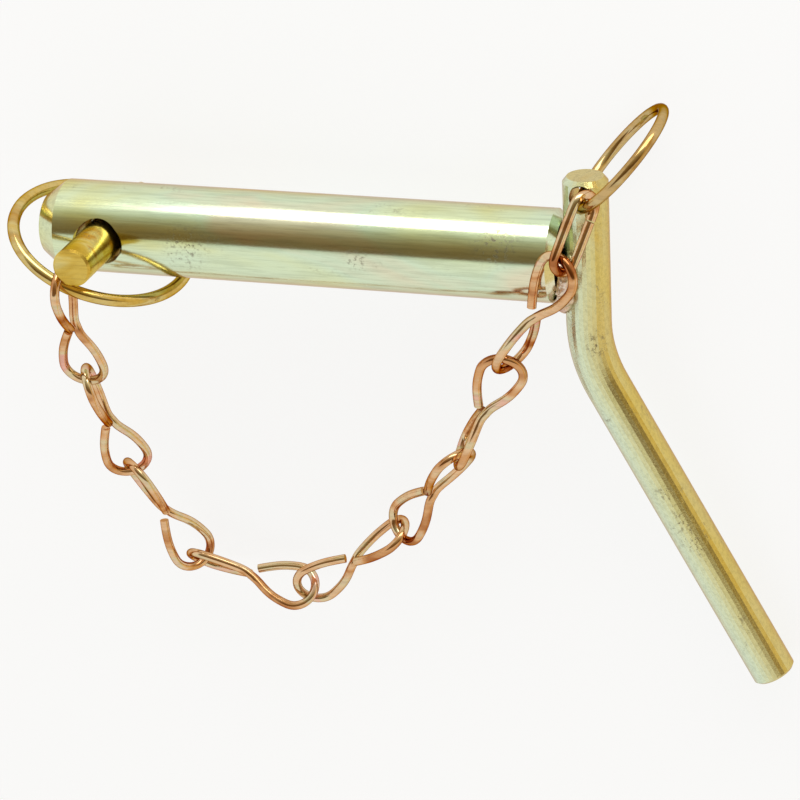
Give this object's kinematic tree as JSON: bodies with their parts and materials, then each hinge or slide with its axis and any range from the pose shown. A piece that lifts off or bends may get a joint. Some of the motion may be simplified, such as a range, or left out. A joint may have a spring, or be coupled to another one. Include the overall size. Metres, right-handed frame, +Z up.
{
  "type": "top link pin",
  "caption": "Round steel linkage pin with a cranked bar handle welded across its end, a linchpin with a sprung wire ring, and a figure-eight chain to a ring in the handle.",
  "frame": {"origin": "middle of the bounding box in plan, at ground level", "axes": "+Z up from the ground it lies on; +X roughly along the pin from its free end to the handle; +Y from the handle's long end to its short end"},
  "size_m": [0.2116, 0.1628, 0.0572],
  "materials": {
    "turned_steel": "turned, with a yellow passivated zinc coat",
    "drawn_bar": "drawn bar with a yellow passivated zinc coat",
    "weld": "as welded, rough, with a thin zinc coat",
    "forged_steel": "forged and turned, with a yellow passivated zinc coat",
    "spring_wire": "drawn wire with a yellow passivated zinc coat",
    "chain_wire": "drawn wire with a copper-coloured passivated zinc coat"
  },
  "bodies": {
    "pin_and_handle": {"pin": "turned_steel", "handle": "drawn_bar", "weld_bead": "weld", "linchpin": "forged_steel"},
    "linchpin_ring": {"linchpin_ring": "spring_wire"},
    "link_1": {"link_1": "chain_wire"},
    "link_2": {"link_2": "chain_wire"},
    "link_3": {"link_3": "chain_wire"},
    "link_4": {"link_4": "chain_wire"},
    "link_5": {"link_5": "chain_wire"},
    "link_6": {"link_6": "chain_wire"},
    "link_7": {"link_7": "chain_wire"},
    "link_8": {"link_8": "chain_wire"},
    "end_link": {"end_link": "chain_wire"},
    "handle_ring": {"handle_ring": "chain_wire"}
  },
  "joints": [
    {"name": "linchpin_ring_flip", "type": "hinge", "parent": "pin_and_handle", "child": "linchpin_ring", "pos_m": [-0.0821, 0.03966, 0.00639], "axis": [0.8687, -0.4631, -0.1758], "range_deg": [0, 50], "stiffness_Nm_per_rad": 0.3, "springref_deg": -28.65},
    {"name": "link_1_swing", "type": "hinge", "parent": "linchpin_ring", "child": "link_1", "pos_m": [-0.0843, 0.03049, 0.05105], "axis": [-0.8864, 0.3278, 0.3267], "range_deg": [0, 34.08]},
    {"name": "link_2_swing", "type": "hinge", "parent": "link_1", "child": "link_2", "pos_m": [-0.08673, -0.00165, 0.0372], "axis": [-0.942, -0.0588, 0.3305], "range_deg": [0, 27.03]},
    {"name": "link_3_swing", "type": "hinge", "parent": "link_2", "child": "link_3", "pos_m": [-0.08358, -0.03513, 0.02139], "axis": [-0.3426, -0.6746, 0.6538], "range_deg": [0, 15.85]},
    {"name": "link_4_swing", "type": "hinge", "parent": "link_3", "child": "link_4", "pos_m": [-0.07164, -0.06737, 0.00906], "axis": [0.0257, 0.5703, 0.8211], "range_deg": [0, 9.05]},
    {"name": "link_5_swing", "type": "hinge", "parent": "link_4", "child": "link_5", "pos_m": [-0.03565, -0.07165, 0.01184], "axis": [-0.2755, -0.2953, -0.9148], "range_deg": [0, 19.33]},
    {"name": "link_6_swing", "type": "hinge", "parent": "link_5", "child": "link_6", "pos_m": [-0.00643, -0.04927, 0.00996], "axis": [-0.3111, 0.3284, -0.8918], "range_deg": [0, 8.74]},
    {"name": "link_7_swing", "type": "hinge", "parent": "link_6", "child": "link_7", "pos_m": [0.01556, -0.02069, 0.01801], "axis": [-0.1977, -0.0455, -0.9792], "range_deg": [0, 4.86]},
    {"name": "link_8_swing", "type": "hinge", "parent": "link_7", "child": "link_8", "pos_m": [0.03276, 0.01126, 0.02581], "axis": [-0.6525, -0.4011, 0.6429], "range_deg": [0, 3.56]},
    {"name": "end_link_swing", "type": "hinge", "parent": "link_8", "child": "end_link", "pos_m": [0.05101, 0.04278, 0.03251], "axis": [0.327, -0.8154, 0.4778], "range_deg": [0, 13.13]},
    {"name": "handle_ring_swing", "type": "hinge", "parent": "pin_and_handle", "child": "handle_ring", "pos_m": [0.05176, 0.05733, 0.01528], "axis": [0.0874, -0.0369, 0.9955], "range_deg": [-10, 3]}
  ],
  "couplings": [
    {"joint": "link_1_swing", "follows": "linchpin_ring_flip", "ratio": 0.68057},
    {"joint": "link_2_swing", "follows": "linchpin_ring_flip", "ratio": 0.53966},
    {"joint": "link_3_swing", "follows": "linchpin_ring_flip", "ratio": 0.31603},
    {"joint": "link_4_swing", "follows": "linchpin_ring_flip", "ratio": 0.18},
    {"joint": "link_5_swing", "follows": "linchpin_ring_flip", "ratio": 0.3855},
    {"joint": "link_6_swing", "follows": "linchpin_ring_flip", "ratio": 0.17381},
    {"joint": "link_7_swing", "follows": "linchpin_ring_flip", "ratio": 0.09611},
    {"joint": "link_8_swing", "follows": "linchpin_ring_flip", "ratio": 0.07014},
    {"joint": "end_link_swing", "follows": "linchpin_ring_flip", "ratio": 0.26155}
  ]
}
